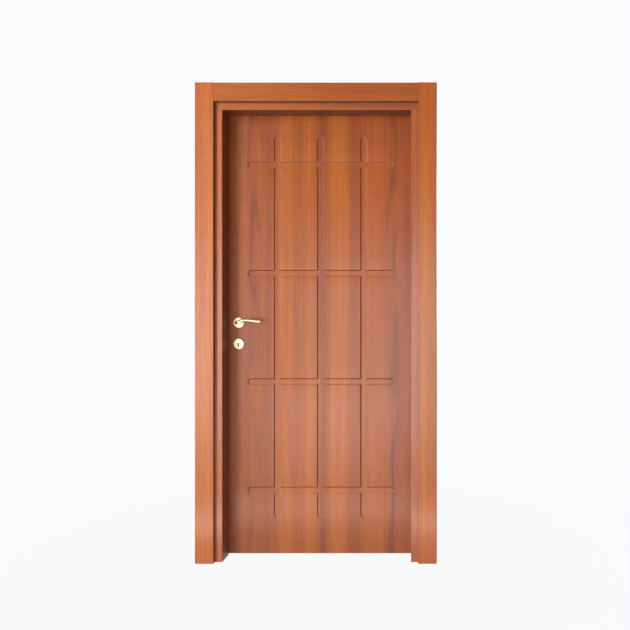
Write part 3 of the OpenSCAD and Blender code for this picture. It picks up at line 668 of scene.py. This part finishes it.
def markSharp(piece, degrees):
    # smooth shading broken at real corners
    mesh = bmesh.new()
    mesh.from_mesh(piece.data)
    mesh.verts.ensure_lookup_table()
    loose = [vert for vert in mesh.verts if not vert.link_faces]
    bmesh.ops.delete(mesh, geom=loose, context="VERTS")
    for edge in mesh.edges:
        if len(edge.link_faces) == 2:
            edge.smooth = edge.calc_face_angle(0) < math.radians(degrees)
    mesh.to_mesh(piece.data)
    mesh.free()


frontSkin = makeSkin("front_skin_foil", leafFront, leafFront + 0.008, leafFoil)
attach(frontSkin, "leaf")
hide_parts("front_skin")
print("front skin:", len(frontSkin.data.polygons), "faces")


# the back skin's recesses for the hinge plates stay with its node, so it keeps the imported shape
dress(["back_skin"], leafBackFoil)


leverShape = {
    "reach": 0.112, "crest": 0.0125, "crestShare": 0.34, "tipFall": 0.006, "out": 0.050, "bendRadius": 0.016,
    "neckRadius": 0.0085, "shankRadius": 0.0070, "barHeight": 0.013, "barThick": 0.010,
    "tipHeightShare": 1.12, "tipThickShare": 0.85, "tipLength": 0.008, "neckIn": 0.003, "around": 48,
}


def leverWave(a):
    shape = leverShape
    s = a / shape["reach"]
    if s < shape["crestShare"]:
        return shape["crest"] * smoothStep(s / shape["crestShare"])
    return shape["crest"] - shape["tipFall"] * smoothStep((s - shape["crestShare"]) / (1 - shape["crestShare"]))


def leverRing(centre, way, height, thick):
    up = Vector((0, 1, 0))
    up = (up - up.dot(way) * way).normalized()
    out = way.cross(up)
    count = leverShape["around"]
    ring = []
    for i in range(count):
        a = 2 * math.pi * i / count
        ring.append(centre + up * (height / 2 * math.sin(a)) + out * (thick / 2 * math.cos(a)))
    return ring


def leverRings():
    shape = leverShape
    rings = []
    flat = Vector((0, 0, 1))
    # turned neck with eased shoulder and a step down to the shank
    root, shoulder = -shape["neckIn"], shape["out"] - shape["bendRadius"]
    neck, shank = shape["neckRadius"], 2 * shape["shankRadius"]
    for z, radius in ((root, neck - 0.0006), (root + 0.0006, neck), (shoulder - 0.0010, neck),
                      (shoulder - 0.0003, neck - 0.0002), (shoulder, neck - 0.0008),
                      (shoulder + 0.0001, shape["shankRadius"] + 0.0002)):
        rings.append(leverRing(Vector((0, 0, z)), flat, 2 * radius, 2 * radius))

    def slopeWay(x, way):
        rise = (leverWave(x + 0.0001) - leverWave(x - 0.0001)) / 0.0002
        return (way + Vector((0, rise * way.x, 0))).normalized()
    bend, bar, tip = 20, 40, 12
    for i in range(bend + 1):
        a = math.pi / 2 * i / bend
        k = smoothStep(i / bend)
        x = shape["bendRadius"] * (1 - math.cos(a))
        centre = Vector((x, leverWave(x), shape["out"] - shape["bendRadius"] * (1 - math.sin(a))))
        rings.append(leverRing(centre, slopeWay(x, Vector((math.sin(a), 0, math.cos(a)))),
                               shank + (shape["barHeight"] - shank) * k, shank + (shape["barThick"] - shank) * k))
    barEnd = shape["reach"] - shape["tipLength"]
    for i in range(1, bar + 1):
        x = shape["bendRadius"] + (barEnd - shape["bendRadius"]) * i / bar
        k = smoothStep(i / bar)
        rings.append(leverRing(Vector((x, leverWave(x), shape["out"])), slopeWay(x, Vector((1, 0, 0))),
                               shape["barHeight"] * (1 + (shape["tipHeightShare"] - 1) * k),
                               shape["barThick"] * (1 + (shape["tipThickShare"] - 1) * k)))
    for i in range(1, tip + 1):
        a = math.radians(88) * i / tip
        x = barEnd + shape["tipLength"] * math.sin(a)
        rings.append(leverRing(Vector((x, leverWave(x), shape["out"])), slopeWay(x, Vector((1, 0, 0))),
                               shape["barHeight"] * shape["tipHeightShare"] * math.cos(a),
                               shape["barThick"] * shape["tipThickShare"] * math.cos(a)))
    return rings


def makeLever(name, onBack):
    rings = leverRings()
    count = leverShape["around"]
    points = []
    for ring in rings:
        for spot in ring:
            outward = leafBack + spot.z if onBack else leafFront - spot.z
            points.append((leverAxis[0] + spot.x, outward, leverAxis[1] + spot.y))
    faces = [tuple(reversed(range(count)))]
    for j in range(len(rings) - 1):
        for i in range(count):
            a, b = j * count + i, j * count + (i + 1) % count
            faces.append((a, b, b + count, a + count))
    faces.append(tuple(range((len(rings) - 1) * count, len(rings) * count)))
    piece = makePiece(name, points, faces, handleBrass)
    mesh = bmesh.new()
    mesh.from_mesh(piece.data)
    bmesh.ops.recalc_face_normals(mesh, faces=mesh.faces)
    mesh.to_mesh(piece.data)
    mesh.free()
    markSharp(piece, 40)
    return piece


for name, onBack, node in (("front_lever_bar", False, "front_lever"), ("back_lever_bar", True, "back_lever")):
    lever = makeLever(name, onBack)
    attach(lever, "handle")
    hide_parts(node)
print("levers made")


screwLook = {"diameter": 0.0078, "proud": 0.0004, "crossDepth": 0.0016, "crossReach": 0.0024, "crossWidth": 0.0011,
             "browRadius": 0.44, "browHeight": 0.8, "crossTaper": 0.55, "skirt": 0.03, "around": 24}


def screwHead():
    # countersunk head of unit diameter with a cross recess, its rim at z = 0
    look = screwLook
    size, around = look["diameter"], look["around"]
    reach, half = look["crossReach"] / size, look["crossWidth"] / size / 2
    plus = [(reach, -half), (reach, half), (half, half), (half, reach), (-half, reach), (-half, half),
            (-reach, half), (-reach, -half), (-half, -half), (-half, -reach), (half, -reach), (half, -half)]
    mesh = bmesh.new()
    dome = look["proud"] / size

    def circle(radius, height):
        turns = [math.tau * i / around for i in range(around)]
        return [mesh.verts.new((radius * math.cos(a), radius * math.sin(a), height)) for a in turns]

    rim = circle(0.5, 0)
    brow = circle(look["browRadius"], dome * look["browHeight"])
    top = [mesh.verts.new((x, y, dome)) for x, y in plus]
    floor = [mesh.verts.new((x * look["crossTaper"], y * look["crossTaper"], -look["crossDepth"] / size))
             for x, y in plus]
    for i in range(around):
        mesh.faces.new((rim[i], rim[(i + 1) % around], brow[(i + 1) % around], brow[i]))
    edges = [mesh.edges.get((brow[i], brow[(i + 1) % around])) for i in range(around)]
    edges += [mesh.edges.new((top[i], top[(i + 1) % len(plus)])) for i in range(len(plus))]
    bmesh.ops.triangle_fill(mesh, use_beauty=True, edges=edges)
    for face in [f for f in mesh.faces if all(v in top for v in f.verts)]:
        mesh.faces.remove(face)
    for i in range(len(plus)):
        j = (i + 1) % len(plus)
        mesh.faces.new((top[j], top[i], floor[i], floor[j]))
    mesh.faces.new(floor)
    skirt = [mesh.verts.new((v.co.x, v.co.y, -look["skirt"])) for v in rim]
    for i in range(around):
        mesh.faces.new((rim[(i + 1) % around], rim[i], skirt[i], skirt[(i + 1) % around]))
    mesh.faces.new(list(reversed(skirt)))
    bmesh.ops.recalc_face_normals(mesh, faces=mesh.faces)
    data = bpy.data.meshes.new("screw_head")
    mesh.to_mesh(data)
    mesh.free()
    return bpy.data.objects.new("screw_head", data)


def screwTree():
    tree = bpy.data.node_groups.new("set_screws", "GeometryNodeTree")
    face = tree.interface
    face.new_socket("Geometry", in_out="INPUT", socket_type="NodeSocketGeometry")
    inputs = {}
    for name, kind, value in (("Head", "NodeSocketObject", None), ("Diameter", "NodeSocketFloat", 0.008),
                              ("Seed", "NodeSocketInt", 4), ("Metal", "NodeSocketMaterial", None)):
        made = face.new_socket(name, in_out="INPUT", socket_type=kind)
        if value is not None:
            made.default_value = value
        inputs[name] = made.identifier
    face.new_socket("Geometry", in_out="OUTPUT", socket_type="NodeSocketGeometry")

    def add(kind, settings=None, sockets=None):
        made = tree.nodes.new(kind)
        for key, value in (settings or {}).items():
            setattr(made, key, value)
        for key, value in (sockets or {}).items():
            socket = made.inputs[key]
            if isinstance(value, bpy.types.NodeSocket):
                tree.links.new(value, socket)
            else:
                socket.default_value = value
        return made

    start = add("NodeGroupInput")
    facing = add("GeometryNodeInputNamedAttribute", {"data_type": "FLOAT_VECTOR"}, {"Name": "facing"})
    size = add("GeometryNodeInputNamedAttribute", {"data_type": "FLOAT"}, {"Name": "size"})
    aligned = add("FunctionNodeAlignRotationToVector", {"axis": "Z"}, {"Vector": facing.outputs["Attribute"]})
    spin = add("FunctionNodeRandomValue", {"data_type": "FLOAT"})
    spin.inputs[2].default_value = 0.0
    spin.inputs[3].default_value = math.pi
    tree.links.new(start.outputs["Seed"], spin.inputs["Seed"])
    euler = add("ShaderNodeCombineXYZ", None, {"Z": spin.outputs[1]})
    asRotation = add("FunctionNodeEulerToRotation", None, {"Euler": euler.outputs[0]})
    turned = add("FunctionNodeRotateRotation", {"rotation_space": "LOCAL"},
                 {"Rotation": aligned.outputs[0], "Rotate By": asRotation.outputs[0]})
    head = add("GeometryNodeObjectInfo", None, {"Object": start.outputs["Head"]})
    scale = add("ShaderNodeMath", {"operation": "MULTIPLY"})
    tree.links.new(start.outputs["Diameter"], scale.inputs[0])
    tree.links.new(size.outputs["Attribute"], scale.inputs[1])
    spots = add("GeometryNodeMeshToPoints", None, {"Mesh": start.outputs["Geometry"]})
    heads = add("GeometryNodeInstanceOnPoints", None, {
        "Points": spots.outputs[0], "Instance": head.outputs["Geometry"],
        "Rotation": turned.outputs[0], "Scale": scale.outputs[0]})
    real = add("GeometryNodeRealizeInstances", None, {"Geometry": heads.outputs[0]})
    painted = add("GeometryNodeSetMaterial", None, {
        "Geometry": real.outputs[0], "Material": start.outputs["Metal"]})
    add("NodeGroupOutput", None, {"Geometry": painted.outputs[0]})
    return tree, inputs


headObject = screwHead()
setScrews, screwInputs = screwTree()


def makeScrews(name, spots, material, body, seed):
    # spots: place, facing and size of each screw; the result is one plain mesh for the body
    data = bpy.data.meshes.new(name + "_spots")
    data.from_pydata([spot for spot, way, size in spots], [], [])
    data.attributes.new("facing", "FLOAT_VECTOR", "POINT").data.foreach_set(
        "vector", [value for spot, way, size in spots for value in way])
    data.attributes.new("size", "FLOAT", "POINT").data.foreach_set(
        "value", [size for spot, way, size in spots])
    source = bpy.data.objects.new(name + "_spots", data)
    scene.collection.objects.link(source)
    modifier = source.modifiers.new("screws", "NODES")
    modifier.node_group = setScrews
    modifier[screwInputs["Head"]] = headObject
    modifier[screwInputs["Diameter"]] = screwLook["diameter"]
    modifier[screwInputs["Seed"]] = seed
    modifier[screwInputs["Metal"]] = material
    graph = bpy.context.evaluated_depsgraph_get()
    mesh = bpy.data.meshes.new_from_object(source.evaluated_get(graph))
    piece = bpy.data.objects.new(name, mesh)
    scene.collection.objects.link(piece)
    source.modifiers.remove(modifier)
    bpy.data.objects.remove(source)
    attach(piece, body)
    print(name + ":", len(spots), "screws,", len(mesh.polygons), "faces")
    return piece


# height and distance from the back edge of a hinge's screws; plate screws keep clear of the plates' ends
hingeScrews = [(-0.038, 0.010), (-0.013, 0.021), (0.013, 0.010), (0.038, 0.021)]
plateScrews = {"in": 0.009, "middle": 0.047, "size": 0.9, "strikeFace": -0.890}
frameSpots, leafSpots = [], []
for place in places:
    low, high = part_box(f"{place}_frame_hinge")
    middle = (low.z + high.z) / 2
    for up, inward in hingeScrews:
        frameSpots.append(((-0.030, leafBack - inward, middle + up), (-1, 0, 0), 1.0))
        leafSpots.append(((-0.035, leafBack - inward, middle + up), (1, 0, 0), 1.0))


def plateSpots(node, x, way):
    low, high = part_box(node)
    return [((x, plateScrews["middle"], z), way, plateScrews["size"])
            for z in (low.z + plateScrews["in"], high.z - plateScrews["in"])]


def lockEdge(y):
    return doorMiddle - skinShape["half"] + skinShape["bevel"] * (leafBack - y) / (leafBack - leafFront)


bevelWay = Vector((-1, -skinShape["bevel"] / (leafBack - leafFront), 0)).normalized()
strikeSpots = plateSpots("strike_plate", plateScrews["strikeFace"], (1, 0, 0))
lockSpots = plateSpots("lock_faceplate", lockEdge(plateScrews["middle"]), tuple(bevelWay))
makeScrews("frame_hinge_screws", frameSpots, hingeBrass, "frame", 3)
makeScrews("leaf_hinge_screws", leafSpots, hingeBrass, "leaf", 5)
makeScrews("strike_screws", strikeSpots, plateSteel, "frame", 7)
makeScrews("faceplate_screws", lockSpots, plateSteel, "leaf", 9)
bpy.data.objects.remove(headObject)


paper = (0.956, 0.965, 0.982)  # the white of the backdrop
floorLook = {"matt": (0.34, 0.34, 0.345), "nearShare": 0.98, "fade": (0.7, 2.2), "radius": 9, "around": 64}


def makeFloor():
    # white paper to the camera and in the gloss, grey to the soft light
    look = floorLook
    finish = Finish("floor_paper")
    seen = finish.largest(*finish.rays())
    x, y, z = finish.parts(finish.placed((doorMiddle, 0, 0)))
    away = finish.maths("SQRT", x * x + y * y)
    share = look["nearShare"] + (1 - look["nearShare"]) * finish.step(away, look["fade"])
    matt = finish.node("ShaderNodeBsdfDiffuse", None, {"Color": solid(look["matt"])})
    glow = finish.node("ShaderNodeEmission", None, {"Color": solid(paper), "Strength": 1.0})
    both = finish.node("ShaderNodeMixShader", None, {"Fac": seen * share, "Shader": matt, "Shader_001": glow})
    finish.node("ShaderNodeOutputMaterial", None, {"Surface": both})
    count = look["around"]
    turns = [math.tau * i / count for i in range(count)]
    points = [(doorMiddle, 0, 0)]
    points += [(doorMiddle + look["radius"] * math.cos(a), look["radius"] * math.sin(a), 0) for a in turns]
    faces = [(0, 1 + i, 1 + (i + 1) % count) for i in range(count)]
    floor = makePiece("floor_disc", points, faces, finish.owner, False)


makeFloor()

worldLook = {  # the fill comes from the upper left and front
    "fill": (0.97, 0.98, 1.0), "fillWay": (-0.60, -0.45, 0.66), "fillEdges": (-0.2, 0.9),
    "fillLevels": (0.03, 0.13),
    # what the gloss sees, from straight down at 0 to straight up at 1
    "mirror": [(0.41, 1.0), (0.84, 0.03), (0.97, 0.25), (1.0, 1.0)],
}


def makeWorld():
    look = worldLook
    finish = Finish("studio", "worlds")
    scene.world = finish.owner
    seen, glossy, through = finish.rays()
    way = finish.node("ShaderNodeTexCoord", output="Generated")
    x, y, z = finish.parts(way)
    level = finish.ramp(z * 0.5 + 0.5, [(place, (value,) * 3) for place, value in look["mirror"]])
    lean = finish.node("ShaderNodeVectorMath", {"operation": "DOT_PRODUCT"},
                       {"Vector": way, "Vector_001": look["fillWay"]}, "Value")

    def sky(colour, strength):
        return finish.node("ShaderNodeBackground", None, {"Color": solid(colour), "Strength": strength})

    fill = sky(look["fill"], finish.step(lean, look["fillEdges"], look["fillLevels"]))
    lit = finish.node("ShaderNodeMixShader", None, {
        "Fac": finish.largest(glossy, through), "Shader": fill, "Shader_001": sky(paper, level)})
    shown = finish.node("ShaderNodeMixShader", None, {
        "Fac": seen, "Shader": lit, "Shader_001": sky(paper, 1.0)})
    finish.node("ShaderNodeOutputWorld", None, {"Surface": shown})


makeWorld()

lamps = {  # soft boxes; some stay out of the gloss, and the low and knee ones are only for it
    "key_softbox": {"place": (-2.3, -2.8, 2.4), "aim": (-0.5, 0, 1.1), "size": (1.3, 1.4), "power": 41,
                    "colour": (1.0, 0.985, 0.96), "inGloss": False},
    "top_softbox": {"place": (-1.2, -2.2, 5.2), "aim": (-0.5, 0, 1.0), "size": (1.6, 1.4), "power": 38,
                    "colour": (1.0, 0.99, 0.97), "inGloss": False},
    "side_panel": {"place": (-2.60, -2.9, 0.64), "aim": (-0.7, 0, 0.7), "size": (1.0, 2.0), "power": 44,
                   "colour": (1.0, 0.99, 0.97)},
    "low_panel": {"place": (-0.72, -0.45, 0.07), "aim": (-0.71, 0, 0.08), "size": (1.9, 0.12), "power": 1.7,
                  "colour": (1.0, 0.99, 0.98), "inDiffuse": False},
    "knee_panel": {"place": (-0.60, -1.20, 0.32), "aim": (-0.58, 0, 0.34), "size": (0.90, 0.55), "power": 2.6,
                   "colour": (1.0, 0.99, 0.98), "inDiffuse": False},
    "front_panel": {"place": (-0.50, -3.3, 0.64), "aim": (-0.4, 0, 0.7), "size": (1.7, 2.15), "power": 26.5,
                    "colour": (1.0, 0.99, 0.98)},
    "right_softbox": {"place": (3.0, 1.1, 1.9), "aim": (0, 0, 1.0), "size": (1.4, 1.6), "power": 60,
                      "colour": (1.0, 0.99, 0.97)},
    "back_softbox": {"place": (0.9, 3.0, 1.6), "aim": (-0.45, 0, 1.0), "size": (1.8, 1.6), "power": 70,
                     "colour": (1.0, 0.99, 0.97)},
}
for name, lamp in lamps.items():
    light = bpy.data.lights.new(name, "AREA")
    light.shape = "RECTANGLE"
    light.size, light.size_y = lamp["size"]
    light.energy = lamp["power"]
    light.color = lamp["colour"]
    holder = bpy.data.objects.new(name, light)
    holder.location = lamp["place"]
    holder.rotation_euler = (Vector(lamp["aim"]) - Vector(lamp["place"])).to_track_quat("-Z", "Y").to_euler()
    holder.visible_glossy = lamp.get("inGloss", True)
    holder.visible_diffuse = lamp.get("inDiffuse", True)
    scene.collection.objects.link(holder)

cameraLook = {"place": (0.100, -3.098, 1.100), "lens": 39.36, "sensor": 36.0, "shift": (-0.2046, -0.0048)}
camera = bpy.data.cameras.new("view_camera")
camera.lens = cameraLook["lens"]
camera.sensor_width = cameraLook["sensor"]
camera.shift_x, camera.shift_y = cameraLook["shift"]
cameraHolder = bpy.data.objects.new("view_camera", camera)
cameraHolder.location = cameraLook["place"]
cameraHolder.rotation_euler = (math.pi / 2, 0, 0)
scene.collection.objects.link(cameraHolder)
scene.camera = cameraHolder
scene.view_settings.view_transform = "Standard"
print("light and camera set")
